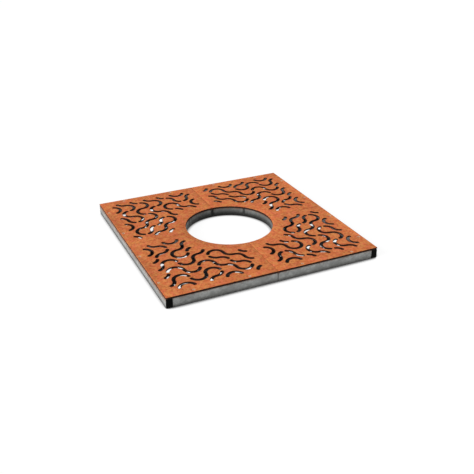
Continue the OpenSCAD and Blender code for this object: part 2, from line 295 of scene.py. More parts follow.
def makeWeatheringSteel(values):
    material, tree, shader, place = newMaterial("weatheringSteel")
    side = vectorCalc(tree, "SIGN", place)
    spread = vectorCalc(tree, "ADD", place, vectorCalc(tree, "MULTIPLY", side, values["plateShift"]))
    moved = vectorCalc(tree, "ADD", spread, values["layerShift"])
    colour = values["rust"]
    masks = {}
    for layer, (tint, size, cover, softness, amount, shifted) in values["layers"].items():
        masks[layer] = effect(tree, "blotches", moved if shifted else spread, size=size, cover=cover,
                              softness=softness, amount=amount)
        colour = mixColour(tree, masks[layer], colour, values[tint])
    normal = tree.nodes.new("ShaderNodeNewGeometry").outputs["Normal"]
    nearSlot = addNode(tree, "ShaderNodeAttribute", {"attribute_name": "nearSlot"}).outputs["Fac"]
    scorch = calc(tree, "MULTIPLY", nearSlot, values["scorchAmount"])
    colour = mixColour(tree, scorch, colour, values["scorch"])
    wall = ramp(tree, sizes(tree, normal)[2], *values["wallSlope"])
    dust = nearJoint(tree, place, values["jointWidth"], values["jointDust"], normal)
    # Upright walls take the cut's colour with painted shade, except where dust fills a joint
    bareAndShaded = calc(tree, "MULTIPLY", wall, calc(tree, "SUBTRACT", 1.0, dust))
    colour = mixColour(tree, bareAndShaded, colour, values["cutFace"])
    tree.links.new(colour, shader.inputs["Base Color"])
    inFlecks, elsewhere = values["roughness"]
    roughness = ramp(tree, masks["dark"], 0.0, 0.5, elsewhere, inFlecks)
    tree.links.new(roughness, shader.inputs["Roughness"])
    shader.inputs["Specular IOR Level"].default_value = values["gloss"]
    grain = effect(tree, "grain", spread, size=values["grain"], pits=0.5)
    roughen(tree, shader, grain, values["relief"])
    return material


# Hot-dip galvanised steel
zincValues = {
    "dull": (0.350, 0.360, 0.350),
    "bright": (0.475, 0.487, 0.474),
    "cloud": (0.268, 0.274, 0.264),
    # Colour of the dirt in the joint, and of the painted shade towards the ground and at the seams
    "dirt": (0.050, 0.047, 0.043),
    "rustRun": (0.26, 0.115, 0.055),
    "creviceDirt": (0.050, 0.026, 0.016),
    "creviceHeights": (0.0440, 0.0495),     # where the dirt and painted shade under the plates fade in
    "creviceAmount": 0.75,
    "jointDirt": 0.80,
    "jointWidth": 0.0030,   # metres from the joint of the two halves
    "crystal": 0.011,       # metres across a crystal of zinc
    "bend": 0.012,          # metres by which the crystals' outlines are bent
    "bendScale": 90.0,
    "featherScale": 260.0,
    "cloudSize": 0.070,     # metres across a dull cloud
    "metallic": 0.35,
    "roughness": (0.62, 0.48),      # of the dull crystals, and of the bright ones
    "shadeAmount": 0.42,    # painted shade: how much darker the steel gets towards the ground
    "shadeHeight": 0.050,
    "shadeRagged": 0.008,
    "dirtAmount": 0.85,
    "dirtHeight": 0.022,
    "dirtRagged": 0.006,
    "rustAmount": 0.50,
    "rustFrom": 0.036,      # height from which rust off the plates stains the steel
    "rustFade": 0.015,      # metres over which the stain comes in
    "runWidth": 0.012,
    "weatherSide": 0.50,    # extra stain on the left side
    "weatherReach": (-0.59, -0.60),     # X between which that side begins
    "weatherDrop": 0.012,   # metres by which the stain starts lower there
    "gloss": 0.5,
    "seamDirt": 0.0,
    "seamReach": (0.016, 0.004),    # metres from a welded seam where its painted shade starts, and is full
    "grain": 0.004,
    "relief": 0.00025,
    "bump": 0.45,
}
# Painted shade: the collars are darker copies of the galvanised steel, darkest towards the ground
shadedCollarValues = dict(zincValues, dull=(0.150, 0.154, 0.148), bright=(0.195, 0.200, 0.192),
                    cloud=(0.120, 0.122, 0.117), dirt=(0.007, 0.007, 0.006), metallic=0.05,
                    shadeAmount=0.97, dirtAmount=0.70, dirtHeight=0.034, seamDirt=0.85,
                    weatherSide=0.0, gloss=0.15)
lessShadedLeftCollarValues = dict(shadedCollarValues, dull=(0.245, 0.252, 0.243), bright=(0.300, 0.308, 0.297),
                        cloud=(0.200, 0.204, 0.196))    # painted light: a lighter copy, with less painted shade than the right half
weldValues = dict(zincValues, dull=(0.36, 0.37, 0.36), bright=(0.50, 0.51, 0.50), crystal=0.005,
                  dirt=(0.020, 0.019, 0.017), seamDirt=0.85)


def makeGalvanisedSteel(name, values):
    material, tree, shader, place = newMaterial(name)
    bend = addNode(tree, "ShaderNodeTexNoise", None,
                   {"Vector": place, "Scale": values["bendScale"], "Detail": 2.0})
    offset = vectorCalc(tree, "SUBTRACT", bend.outputs["Color"], (0.5, 0.5, 0.5))
    offset = vectorCalc(tree, "MULTIPLY", offset, [values["bend"]] * 3)
    bent = vectorCalc(tree, "ADD", place, offset)
    cells = addNode(tree, "ShaderNodeTexVoronoi", None, {"Vector": bent, "Scale": 1 / values["crystal"]})
    tone = addNode(tree, "ShaderNodeSeparateColor", None, {0: cells.outputs["Color"]}).outputs[0]
    angles = vectorCalc(tree, "MULTIPLY", cells.outputs["Color"], (6, 6, 6))    # one for each crystal
    turned = addNode(tree, "ShaderNodeVectorRotate", {"rotation_type": "EULER_XYZ"},
                     {"Vector": place, "Rotation": angles}).outputs[0]
    feather = addNode(tree, "ShaderNodeTexWave", None,
                      {"Vector": turned, "Scale": values["featherScale"], "Distortion": 3.0, "Detail": 2.0})
    colour = mixColour(tree, tone, values["dull"], values["bright"])
    cloud = effect(tree, "blotches", place, size=values["cloudSize"], cover=0.45, softness=0.10, amount=0.70)
    colour = mixColour(tree, cloud, colour, values["cloud"])
    streaks = vectorCalc(tree, "MULTIPLY", place, (1, 1, 0.12))
    run = effect(tree, "blotches", streaks, size=values["runWidth"], cover=0.50, softness=0.10, amount=1.0)
    parts = addNode(tree, "ShaderNodeSeparateXYZ", None, {0: place}).outputs
    weather = ramp(tree, parts["X"], *values["weatherReach"], 0.0, values["weatherSide"])
    drop = calc(tree, "MULTIPLY", weather, values["weatherDrop"])
    start = calc(tree, "SUBTRACT", values["rustFrom"], drop)
    nearPlate = ramp(tree, calc(tree, "SUBTRACT", parts["Z"], start), 0.0, values["rustFade"])
    amount = calc(tree, "ADD", weather, calc(tree, "MULTIPLY", run, values["rustAmount"]))
    colour = mixColour(tree, calc(tree, "MULTIPLY", nearPlate, amount), colour, values["rustRun"])
    # Dirt and painted shade in the crevice under the plates
    crevice = ramp(tree, parts["Z"], *values["creviceHeights"], 0.0, values["creviceAmount"])
    colour = mixColour(tree, crevice, colour, values["creviceDirt"])
    across = calc(tree, "ABSOLUTE", parts["X"])
    width = values["jointWidth"]
    joint = ramp(tree, across, width * 1.5, width * 0.5, 0.0, values["jointDirt"])
    colour = mixColour(tree, joint, colour, values["dirt"])
    # Painted shade that darkens the steel towards the ground, and a darker band of dirt and painted shade at
    # the bottom
    for kind in ("shade", "dirt"):
        mask = effect(tree, "lowDirt", place, height=values[kind + "Height"],
                      ragged=values[kind + "Ragged"], amount=values[kind + "Amount"])
        colour = mixColour(tree, mask, colour, values["dirt"])
    if values["seamDirt"] > 0:
        # Painted shade at the seams, which are at the joint of the halves, and half way round each quarter
        along = calc(tree, "ABSOLUTE", parts["Y"])
        quarterWay = calc(tree, "ABSOLUTE", calc(tree, "SUBTRACT", across, along))
        distance = calc(tree, "MINIMUM", across, quarterWay)
        seam = ramp(tree, distance, *values["seamReach"], 0.0, values["seamDirt"])
        colour = mixColour(tree, seam, colour, values["dirt"])
    tree.links.new(colour, shader.inputs["Base Color"])
    shader.inputs["Metallic"].default_value = values["metallic"]
    shader.inputs["Specular IOR Level"].default_value = values["gloss"]
    dullest, glossiest = values["roughness"]
    tree.links.new(ramp(tree, tone, 0.0, 1.0, dullest, glossiest), shader.inputs["Roughness"])
    relief = calc(tree, "ADD", calc(tree, "MULTIPLY", feather.outputs["Fac"], 0.35),
                  effect(tree, "grain", place, size=values["grain"], pits=0.2))
    roughen(tree, shader, relief, values["relief"], values["bump"])
    return material


# Fasteners, rubber and plastic
plainFinishes = {
    "stainlessSteel": {"colour": (0.60, 0.40, 0.26), "worn": (0.50, 0.21, 0.10), "metallic": 0.6,
                       "roughness": (0.42, 0.66), "gloss": 0.4, "patch": 0.006, "grain": 0.0008,
                       "relief": 0.00005, "dust": None},
    "zincPlate": {"colour": (0.56, 0.57, 0.58), "worn": (0.46, 0.45, 0.40), "metallic": 1.0,
                  "roughness": (0.30, 0.46), "gloss": 0.5, "patch": 0.008, "grain": 0.0010,
                  "relief": 0.00008, "dust": None},
    "rubber": {"colour": (0.016, 0.016, 0.016), "worn": (0.038, 0.036, 0.033), "metallic": 0.0,
               "roughness": (0.78, 0.92), "gloss": 0.3, "patch": 0.020, "grain": 0.0012,
               "relief": 0.00015, "dust": (0.0035, 0.8)},   # width of the dust at a joint, amount
    "blackPlastic": {"colour": (0.0022, 0.0024, 0.0024), "worn": (0.0040, 0.0042, 0.0040), "metallic": 0.0,
                     "roughness": (0.60, 0.72), "gloss": 0.04, "patch": 0.015, "grain": 0.0007,
                     "relief": 0.00008, "dust": None},
}


def makePlainFinish(name, values):
    material, tree, shader, place = newMaterial(name)
    worn = effect(tree, "blotches", place, size=values["patch"], cover=0.40, softness=0.10)
    colour = mixColour(tree, worn, values["colour"], values["worn"])
    if values["dust"]:
        dust = nearJoint(tree, place, *values["dust"])
        colour = mixColour(tree, dust, colour, rustValues["deepRust"])
    tree.links.new(colour, shader.inputs["Base Color"])
    shader.inputs["Metallic"].default_value = values["metallic"]
    shader.inputs["Specular IOR Level"].default_value = values["gloss"]
    low, high = values["roughness"]
    tree.links.new(ramp(tree, worn, 0.0, 1.0, low, high), shader.inputs["Roughness"])
    grain = effect(tree, "grain", place, size=values["grain"], pits=0.3)
    roughen(tree, shader, grain, values["relief"])
    return material


materials = {name: makePlainFinish(name, values) for name, values in plainFinishes.items()}
materials["weatheringSteel"] = makeWeatheringSteel(rustValues)
materials["galvanisedSteel"] = makeGalvanisedSteel("galvanisedSteel", zincValues)
# The collars' steel carries painted shade, with less of it on the left half
materials["rightCollarSteel"] = makeGalvanisedSteel("rightCollarSteel", shadedCollarValues)
materials["leftCollarSteel"] = makeGalvanisedSteel("leftCollarSteel", lessShadedLeftCollarValues)
materials["weldedSteel"] = makeGalvanisedSteel("weldedSteel", weldValues)
finishOfSlot = {
    "weathering_steel": "weatheringSteel",
    "galvanised_steel": "galvanisedSteel",
    "stainless_steel": "stainlessSteel",
    "zinc_plate": "zincPlate",
    "rubber": "rubber",
    "black_plastic": "blackPlastic",
}
for nodeName, node in nodes.items():
    node.data.materials.clear()
    node.data.materials.append(materials[finishOfSlot[slotOf[nodeName]]])
print("materials made:", len(materials))


# Meshes from the frame's nodes
closeness = 1e-6    # metres within which two points of a node are one


def mergedMesh(nodeName):
    solid = bmesh.new()
    solid.from_mesh(nodes[nodeName].data)
    bmesh.ops.remove_doubles(solid, verts=solid.verts, dist=closeness)
    for elements in (solid.verts, solid.faces):
        elements.index_update()
        elements.ensure_lookup_table()
    return solid


def pieceName(nodeName, ending):
    return nodeName.replace("_", "-") + ending


def standFor(piece, nodeName):
    # The piece takes the node's place, and moves as it does
    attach(piece, bodyOf[nodeName])
    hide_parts(nodeName)


def addPiece(nodeName, ending, solid, finish):
    name = pieceName(nodeName, ending)
    mesh = bpy.data.meshes.new(name)
    solid.to_mesh(mesh)
    solid.free()
    mesh.materials.append(materials[finish])
    piece = bpy.data.objects.new(name, mesh)
    scene.collection.objects.link(piece)
    standFor(piece, nodeName)
    return piece


def evaluatedMesh(piece):
    shown = piece.evaluated_get(bpy.context.evaluated_depsgraph_get())
    return bpy.data.meshes.new_from_object(shown)


# Plates, with every edge of the cut rounded a little
plateEdge = {
    "radius": 0.0005,   # metres
    "steps": 2,         # facets round an edge
    "turn": 8.0,        # most degrees that a curve turns from point to point
    "corner": 40.0,     # degrees past which a turn is a corner
    "crowding": 0.0007,     # metres under which a point is left out where two curves join
    "roundness": 1e-5,  # metres within which an outline is a circle
    "scorch": 0.0025,   # width of the dark fringe that cutting leaves round a slot
    "sharp": 50.0,      # degrees past which shading breaks
}


def outlinesAt(solid, height):
    # The outlines of the flat face at that height, with the steel on their left
    flat = set()
    for face in solid.faces:
        if all(abs(vert.co.z - height) < closeness for vert in face.verts):
            flat.add(face.index)
    following = {}
    for index in sorted(flat):
        for corner in solid.faces[index].loops:
            if sum(face.index in flat for face in corner.edge.link_faces) == 1:
                following[corner.vert.index] = corner.link_loop_next.vert.index
    outlines = []
    while following:
        first = min(following)
        loop = [first]
        point = following.pop(first)
        while point != first:
            loop.append(point)
            point = following.pop(point)
        outlines.append([solid.verts[index].co.xy for index in loop])
    return outlines


def turnBetween(first, second):
    return math.atan2(first.x * second.y - first.y * second.x, first.dot(second))


def chordsAndTurns(points):
    chords = [after - point for point, after in zip(points, points[1:] + points[:1])]
    return chords, [turnBetween(chords[k - 1], chords[k]) for k in range(len(points))]


def smoothOutline(points, edge):
    # Adds points along each curve, and gives every point its direction into the steel
    corner = math.radians(edge["corner"])
    chords, turns = chordsAndTurns(points)
    points = [point for k, point in enumerate(points)
              if chords[k - 1].length > edge["crowding"] or abs(turns[k]) > corner]
    chords, turns = chordsAndTurns(points)
    count = len(points)
    most = math.radians(edge["turn"])
    leaving = []
    arriving = []
    for k in range(count):
        before, after = chords[k - 1], chords[k]
        if abs(turns[k]) > corner:
            arriving.append(before.normalized())
            leaving.append(after.normalized())
        else:
            along = before.normalized() * after.length + after.normalized() * before.length
            arriving.append(along.normalized())
            leaving.append(along.normalized())
    result = []
    for k in range(count):
        start, end = points[k], points[(k + 1) % count]
        out, into = leaving[k], arriving[(k + 1) % count]
        chord = chords[k]
        if abs(turns[k]) > corner:
            inward = Vector((-arriving[k].y - out.y, arriving[k].x + out.x)).normalized()
            result.append((start, inward / math.cos(turns[k] / 2)))
        else:
            result.append((start, Vector((-out.y, out.x))))
        bend = max(abs(turnBetween(out, chord)), abs(turnBetween(chord, into))) * 2
        pieces = max(1, math.ceil(bend / most - 1e-6))
        for step in range(1, pieces):
            t = step / pieces
            place = (start * (2 * t ** 3 - 3 * t ** 2 + 1) + end * (3 * t ** 2 - 2 * t ** 3)
                     + out * chord.length * (t ** 3 - 2 * t ** 2 + t)
                     + into * chord.length * (t ** 3 - t ** 2))
            along = ((start - end) * (6 * t ** 2 - 6 * t)
                     + out * chord.length * (3 * t ** 2 - 4 * t + 1)
                     + into * chord.length * (3 * t ** 2 - 2 * t)).normalized()
            result.append((place, Vector((-along.y, along.x))))
    return result


def roundedWall(top, bottom, edge, lower=0.0):
    # Steps of a wall from its top face to its bottom face: distance into the steel, height
    radius, steps = edge["radius"], edge["steps"]
    angles = [math.pi / 2 * step / steps for step in range(steps + 1)]
    upperSteps = [(radius * (1 - math.sin(a)), top - radius * (1 - math.cos(a))) for a in angles]
    lowerSteps = [(lower + radius * (1 - math.sin(a)), bottom + radius * (1 - math.cos(a)))
                  for a in reversed(angles)]
    return upperSteps, lowerSteps


def makePlate(nodeName, edge):
    solid = mergedMesh(nodeName)
    low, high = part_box(nodeName)
    middle = [vert.co for vert in solid.verts if low.z + closeness < vert.co.z < high.z - closeness]
    plateReach = max(abs(low.x), abs(high.x))
    plate = bmesh.new()
    nearSlot = plate.verts.layers.float.new("nearSlot")
    topEdges = []
    bottomEdges = []
    for points in outlinesAt(solid, high.z):
        centre = sum(points, Vector((0, 0))) / len(points)
        reach = (points[0] - centre).length
        seat = [co for co in middle if (co.xy - centre).length < reach]
        isSeat = seat and max(abs((p - centre).length - reach) for p in points) < edge["roundness"]
        lower = (seat[0].xy - centre).length - reach if isSeat else 0.0
        upperSteps, lowerSteps = roundedWall(high.z, low.z, edge, lower)
        if isSeat:
            # A cone for the screw's head, down to the bore
            upperSteps = upperSteps[:2] + [(-edge["radius"], high.z - edge["radius"]), (lower, seat[0].z)]
        # A slot is what stays clear of the plate's outer edge, and has a fringe on the face round it
        isSlot = not isSeat and max(abs(p.x) for p in points) < plateReach - edge["radius"]
        if isSlot:
            upperSteps.insert(0, (edge["radius"] + edge["scorch"], high.z))
        rings = []
        outline = smoothOutline(points, edge)
        for inset, height in upperSteps + lowerSteps:
            rings.append([plate.verts.new((*(p + inward * inset), height)) for p, inward in outline])
        if isSlot:
            for ring in rings[1:len(upperSteps)]:
                for vert in ring:
                    vert[nearSlot] = 1.0
        for upper, under in zip(rings, rings[1:]):
            for k in range(len(outline)):
                face = plate.faces.new((upper[k - 1], under[k - 1], under[k], upper[k]))
                face.smooth = True
        for ring, edges in ((rings[0], topEdges), (rings[-1], bottomEdges)):
            for k in range(len(ring)):
                edges.append(plate.edges.get((ring[k - 1], ring[k])))
    solid.free()
    for edges, normal in ((topEdges, (0, 0, 1)), (bottomEdges, (0, 0, -1))):
        filled = bmesh.ops.triangle_fill(plate, use_beauty=True, use_dissolve=False, edges=edges,
                                         normal=normal)
        for face in filled["geom"]:
            if isinstance(face, bmesh.types.BMFace):
                face.smooth = False
    bmesh.ops.recalc_face_normals(plate, faces=plate.faces)
    piece = addPiece(nodeName, "-cut", plate, "weatheringSteel")
    piece.data.set_sharp_from_angle(angle=math.radians(edge["sharp"]))
    return piece


for nodeName in sorted(nodes):
    if nodeName.startswith("plate_"):
        piece = makePlate(nodeName, plateEdge)
        print("plate made:", piece.name, len(piece.data.polygons), "faces")


# Collars and the strips on them, turned exactly
def turnedHalf(nodeName, profile, steps):
    # A half ring with the profile's radii and heights, cut flat at the joint of the frame
    low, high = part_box(nodeName)
    side = -1 if low.x + high.x < 0 else 1
    cut = min(abs(low.x), abs(high.x))
    solid = bmesh.new()
    rings = []
    for step in range(steps + 1):
        ring = []
        for radius, height in profile:
            end = math.acos(cut / radius)
            angle = end * (2 * step / steps - 1)
            ring.append(solid.verts.new((side * radius * math.cos(angle), radius * math.sin(angle), height)))
        rings.append(ring)
    for first, second in zip(rings, rings[1:]):
        for k in range(len(profile)):
            face = solid.faces.new((first[k - 1], first[k], second[k], second[k - 1]))
            face.smooth = True
    solid.faces.new(rings[0])
    solid.faces.new(rings[-1])
    bmesh.ops.recalc_face_normals(solid, faces=solid.faces)
    return solid


def roundedProfile(inner, outer, bottom, top, radius, steps=2):
    profile = []
    corners = ((outer, bottom, -90), (outer, top, 0), (inner, top, 90), (inner, bottom, 180))
    for reach, height, start in corners:
        across = reach - radius if reach == outer else reach + radius
        level = height - radius if height == top else height + radius
        for step in range(steps + 1):
            angle = math.radians(start + 90 * step / steps)
            profile.append((across + radius * math.cos(angle), level + radius * math.sin(angle)))
    return profile


ringShapes = {
    "collar": {"inner": 0.2500, "outer": 0.2560, "rounding": 0.0008,
               "finish": {"left": "leftCollarSteel", "right": "rightCollarSteel"}},
    "ring_strip": {"inner": 0.2505, "outer": 0.2555, "rounding": 0.0003,
                   "finish": {"left": "rubber", "right": "rubber"}},
}


def makeRings(shapes, steps=120, sharp=60.0):
    for prefix, shape in shapes.items():
        for half in ("left", "right"):
            nodeName = prefix + "_" + half
            low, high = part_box(nodeName)
            profile = roundedProfile(shape["inner"], shape["outer"], low.z, high.z, shape["rounding"])
            solid = turnedHalf(nodeName, profile, steps)
            piece = addPiece(nodeName, "-turned", solid, shape["finish"][half])
            piece.data.set_sharp_from_angle(angle=math.radians(sharp))


makeRings(ringShapes)
print("rings made")


# Tubes, bars, caps and straight strips, with their edges softened
softEdges = {
    "radii": {"tube": 0.0004, "joint_bar": 0.0005, "end_cap": 0.0005, "strip": 0.0002},
    "flat": 0.5,        # degrees under which two faces are one
    "corner": 35.0,     # degrees past which an edge is rounded
    "segments": 2,
    "sharp": 50.0,      # degrees past which shading breaks
}


def soften(nodeName, radius, values):
    solid = mergedMesh(nodeName)
    bmesh.ops.dissolve_limit(solid, angle_limit=math.radians(values["flat"]), verts=solid.verts,
                             edges=solid.edges)
    corner = math.radians(values["corner"])
    chosen = [edge for edge in solid.edges if edge.is_manifold and edge.calc_face_angle() > corner]
    bmesh.ops.bevel(solid, geom=chosen, offset=radius, offset_type="OFFSET", profile=0.5,
                    segments=values["segments"], affect="EDGES", clamp_overlap=True)
    for face in solid.faces:
        face.smooth = True
    piece = addPiece(nodeName, "-soft", solid, finishOfSlot[slotOf[nodeName]])
    piece.data.set_sharp_from_angle(angle=math.radians(values["sharp"]))
    weighting = piece.modifiers.new("weighting", "WEIGHTED_NORMAL")
    weighting.keep_sharp = True
    shown = evaluatedMesh(piece)
    piece.modifiers.remove(weighting)
    piece.data = shown


for nodeName in sorted(nodes):
    if nodeName.startswith("ring_strip"):
        continue
    for part, radius in softEdges["radii"].items():
        if part in nodeName:
            soften(nodeName, radius, softEdges)
            break
print("edges softened")


# Screws, bolts, nuts and washers
fasteners = {
    "steps": 48,            # points round a fastener, a multiple of six
    "screwLine": 0.5825,    # metres from the middle lines to the row of screws
    "screwSteps": (0.150, 0.450),   # metres along the row, from the middle lines
    "screwTop": 0.0597,     # height of the screws' top faces
    "frameTop": 0.0500,     # height of the tubes' top faces
    "boltLines": (0.316, 0.505),    # metres from the middle, to the front and the back
    "boltHeight": 0.0250,
    "barFace": 0.0083,      # metres from the joint of the halves to a bar's far face
    "washerRadius": 0.0105,
    "washerThickness": 0.0020,
    "headHeight": 0.0065,
    "nutHeight": 0.0085,
    "hexFlats": 0.0170,
    "faceShare": 0.48,      # radius of the flat end of a head or nut, as a share of its flats
    "chamfer": 30.0,        # degrees
    "boltRadius": 0.0050,
    "boltPitch": 0.0015,
    "boltSpare": 0.0050,    # metres by which a bolt stands out of its nut
    "screwRadius": 0.0040,
    "screwPitch": 0.00125,
    "socketFlats": 0.0050,
    "socketDepth": 0.0030,
    "threadDepth": 0.61,    # as a share of the pitch
    "play": 0.00005,        # metres between a thread's crest and its nut's bore
    "chanceTurn": 3.1,      # most radians by which a fastener is turned either way
    "sharp": 38.0,          # degrees past which shading breaks
}


def roundRow(radius, height, steps):
    turns = [2 * math.pi * k / steps for k in range(steps)]
    return [(radius * math.cos(a), radius * math.sin(a), height) for a in turns]


def hexRadius(flats, angle):
    return flats / 2 / math.cos((angle + math.pi / 6) % (math.pi / 3) - math.pi / 6)


def hexRow(flats, height, steps, chamfer=None, slope=0.0):
    # Hexagon with flats across X, lowered or raised by the slope outside the chamfer's radius
    row = []
    for k in range(steps):
        angle = 2 * math.pi * k / steps
        radius = hexRadius(flats, angle + math.pi / 6)
        drop = max(0.0, radius - chamfer) * slope if chamfer else 0.0
        row.append((radius * math.cos(angle), radius * math.sin(angle), height + drop))
    return row


def skin(solid, rows, closeFirst=False, closeLast=False):
    # Faces from each row of points to the next, all rows with as many points
    made = [[solid.verts.new(point) for point in row] for row in rows]
    for lower, upper in zip(made, made[1:]):
        for k in range(len(lower)):
            face = solid.faces.new((lower[k - 1], lower[k], upper[k], upper[k - 1]))
            face.smooth = True
    if closeFirst:
        solid.faces.new(made[0])
    if closeLast:
        solid.faces.new(made[-1])


def addThread(solid, core, outer, pitch, bottom, top, steps=24):
    # A ridge that winds up the core and fades out at both ends
    count = int((top - bottom) / pitch * steps)
    previous = None
    for k in range(count + 1):
        angle = 2 * math.pi * k / steps
        height = bottom + pitch * k / steps
        fade = min(1.0, 2 * k / steps, 2 * (count - k) / steps)
        crest = core + (outer - core) * fade
        outline = ((core * 0.98, -0.48), (crest, -0.07), (crest, 0.07), (core * 0.98, 0.48))
        row = [solid.verts.new((r * math.cos(angle), r * math.sin(angle), height + pitch * s))
               for r, s in outline]
        if previous:
            for j in range(4):
                face = solid.faces.new((previous[j - 1], row[j - 1], row[j], previous[j]))
                face.smooth = True
        if k in (0, count):
            solid.faces.new(row)
        previous = row


def screwSolid(values):
    solid = bmesh.new()
    steps = values["steps"]
    radius = values["screwRadius"]
    core = radius - values["threadDepth"] * values["screwPitch"]
    flats = values["socketFlats"]
    rows = [hexRow(flats, -values["socketDepth"], steps), hexRow(flats, -0.0003, steps)]
    # Radii and heights from the socket's rim over the countersunk head to the end of the core
    outline = ((0.0031, 0.0), (0.0076, 0.0), (0.0077, -0.0001), (0.00766, -0.00034), (0.0041, -0.0039),
               (0.0038, -0.0044), (core, -0.0048), (core, -0.0242), (core - 0.0006, -0.0250))
    rows += [roundRow(r, z, steps) for r, z in outline]
    skin(solid, rows, closeFirst=True, closeLast=True)
    addThread(solid, core, radius, values["screwPitch"], -0.0240, -0.0056)
    return solid


def boltSolid(values):
    solid = bmesh.new()
    steps = values["steps"]
    radius = values["boltRadius"]
    flats = values["hexFlats"]
    core = radius - values["threadDepth"] * values["boltPitch"]
    head = values["headHeight"]
    grip = 2 * (values["barFace"] + values["washerThickness"])
    end = grip + head + values["nutHeight"] + values["boltSpare"]
    face = values["faceShare"] * flats
    slope = math.tan(math.radians(values["chamfer"]))
    # From the dished top of the head over the hexagon and the washer face to the plain shank and the core
    rows = [roundRow(face - 0.0008, 0.0002, steps), roundRow(face - 0.0004, 0.0, steps),
            hexRow(flats, 0.0, steps, face, slope), hexRow(flats, head - 0.0005, steps),
            hexRow(flats - 0.0004, head - 0.0003, steps)]
    outline = ((face, head - 0.0003), (face, head), (radius, head), (radius, 0.0150), (core, 0.0155),
               (core, end - 0.0008), (core - 0.0007, end))
    rows += [roundRow(r, z, steps) for r, z in outline]
    skin(solid, rows, closeFirst=True, closeLast=True)
    addThread(solid, core, radius, values["boltPitch"], 0.0160, end - 0.0008)
    return solid


def nutSolid(values):
    solid = bmesh.new()
    steps = values["steps"]
    flats = values["hexFlats"]
    height = values["nutHeight"]
    bore = values["boltRadius"] + values["play"]
    face = values["faceShare"] * flats
    slope = math.tan(math.radians(values["chamfer"]))
    # Once round the section, from the bore's lower end
    rows = [roundRow(r, z, steps) for r, z in ((bore, 0.0008), (bore + 0.0006, 0.0), (face, 0.0))]
    rows += [hexRow(flats, 0.0, steps, face, slope), hexRow(flats, height, steps, face, -slope)]
    rows += [roundRow(r, z, steps) for r, z in
             ((face, height), (bore + 0.0006, height), (bore, height - 0.0008), (bore, 0.0008))]
    skin(solid, rows)
    return solid


def washerSolid(values):
    solid = bmesh.new()
    profile = roundedProfile(values["boltRadius"] + 0.0005, values["washerRadius"], 0.0,
                             values["washerThickness"], 0.0003)
    profile.append(profile[0])
    skin(solid, [roundRow(r, z, values["steps"]) for r, z in profile])
    return solid


def rivetNutSolid(values):
    solid = bmesh.new()
    bore = values["screwRadius"] + values["play"]
    # Up the outside from the bore's lower end, over the bulge and the flange, and down the thread
    outline = [(bore, -0.0180), (0.0053, -0.0180), (0.0055, -0.0178), (0.0055, -0.0080), (0.0070, -0.0060),
               (0.0075, -0.0052), (0.0075, -0.0034), (0.0072, -0.0030), (0.0055, -0.0030), (0.0055, 0.0),
               (0.0078, 0.0), (0.0080, 0.0003), (0.0080, 0.0010), (0.0076, 0.0015), (bore + 0.0006, 0.0015)]
    turns = int(0.0175 / values["screwPitch"])
    for turn in range(turns):
        level = 0.0008 - turn * values["screwPitch"]
        outline += [(bore, level), (bore + 0.0005, level - values["screwPitch"] / 2)]
    outline.append((bore, -0.0180))
    skin(solid, [roundRow(r, z, values["steps"] // 2) for r, z in outline])
    return solid


def finishTree(tree, geometry, material, end):
    real = addNode(tree, "GeometryNodeRealizeInstances", None, {0: geometry})
    finished = addNode(tree, "GeometryNodeSetMaterial", None,
                       {"Geometry": real.outputs[0], "Material": material})
    tree.links.new(finished.outputs[0], end["Geometry"])


def makePlacing():
    # Puts a piece on every point, tilted alike and each turned by chance on its own axis
    inputs = {
        "Points": ("NodeSocketGeometry", None),
        "Piece": ("NodeSocketObject", None),
        "Tilt": ("NodeSocketVector", None),
        "Random Turn": ("NodeSocketFloat", 0.0),
        "Seed": ("NodeSocketInt", 0),
        "Material": ("NodeSocketMaterial", None),
    }
    tree, start, end = newGroup("placedPieces", "GeometryNodeTree", inputs,
                                {"Geometry": "NodeSocketGeometry"})
    piece = addNode(tree, "GeometryNodeObjectInfo", None, {"Object": start["Piece"]})
    tilt = addNode(tree, "FunctionNodeEulerToRotation", None, {0: start["Tilt"]})
    placed = addNode(tree, "GeometryNodeInstanceOnPoints", None,
                     {"Points": start["Points"], "Instance": piece.outputs["Geometry"],
                      "Rotation": tilt.outputs[0]})
    least = calc(tree, "MULTIPLY", start["Random Turn"], -1.0)
    chance = addNode(tree, "FunctionNodeRandomValue", {"data_type": "FLOAT"},
                     {2: least, 3: start["Random Turn"], "Seed": start["Seed"]})
    turn = addNode(tree, "FunctionNodeAxisAngleToRotation", None,
                   {"Axis": (0, 0, 1), "Angle": chance.outputs[1]})
    turned = addNode(tree, "GeometryNodeRotateInstances", None,
                     {"Instances": placed.outputs[0], "Rotation": turn.outputs[0], "Local Space": True})
    finishTree(tree, turned.outputs[0], start["Material"], end)
    return tree


def bakeTree(name, tree, points, edges, values):
    # Makes one fixed piece of what a Geometry Nodes tree does with points and edges
    mesh = bpy.data.meshes.new(name + "-points")
    mesh.from_pydata(points, edges, [])
    piece = bpy.data.objects.new(name, mesh)
    scene.collection.objects.link(piece)
    modifier = piece.modifiers.new("build", "NODES")
    modifier.node_group = tree
    for item in tree.interface.items_tree:
        if item.item_type == "SOCKET" and item.in_out == "INPUT" and item.name in values:
            modifier[item.identifier] = values[item.name]
    baked = evaluatedMesh(piece)
    piece.modifiers.remove(modifier)
    piece.data = baked
    bpy.data.meshes.remove(mesh)
    return piece


placing = makePlacing()
quarters = {"back_right": 0, "back_left": 1, "front_left": 2, "front_right": 3}


def screwPlaces(quarter, height, values):
    corner = []
    for step in values["screwSteps"]:
        corner.append((values["screwLine"], step))
        corner.append((step, values["screwLine"]))
    turn = Matrix.Rotation(math.radians(90 * quarter), 3, "Z")
    return [turn @ Vector((x, y, height)) for x, y in corner]


def boltPlaces(x, values):
    return [(x, side * line, values["boltHeight"]) for side in (-1, 1) for line in values["boltLines"]]


